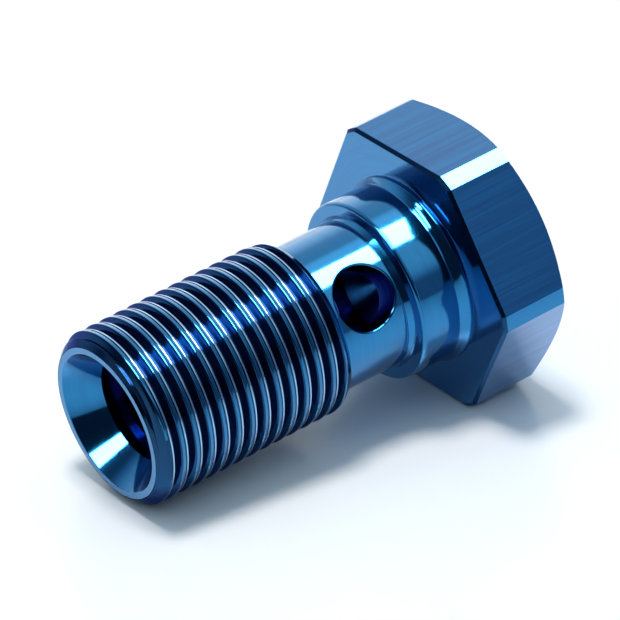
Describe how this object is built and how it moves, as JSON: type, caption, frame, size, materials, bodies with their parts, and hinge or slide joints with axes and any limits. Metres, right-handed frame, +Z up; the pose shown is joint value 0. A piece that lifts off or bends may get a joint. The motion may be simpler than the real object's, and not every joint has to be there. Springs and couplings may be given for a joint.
{
  "type": "banjo bolt",
  "caption": "Hollow hexagon-headed bolt with a blind bore, a cross hole through its neck and a seat cone in its end; it clamps a ring-shaped hose fitting and feeds fluid through it.",
  "frame": {"origin": "on the floor under the middle of the bolt's box, with the bolt lying as it comes to rest", "axes": "+Z up; the bolt's axis lies in the XZ plane and rises 6.8 degrees from the thread end at -X to the head at +X"},
  "size_m": [0.0366, 0.023, 0.0212],
  "materials": {
    "anodised_aluminium": "blue anodised, bright turned, flats finely brushed"
  },
  "bodies": {
    "root": {"banjo_bolt": "anodised_aluminium"}
  },
  "joints": []
}
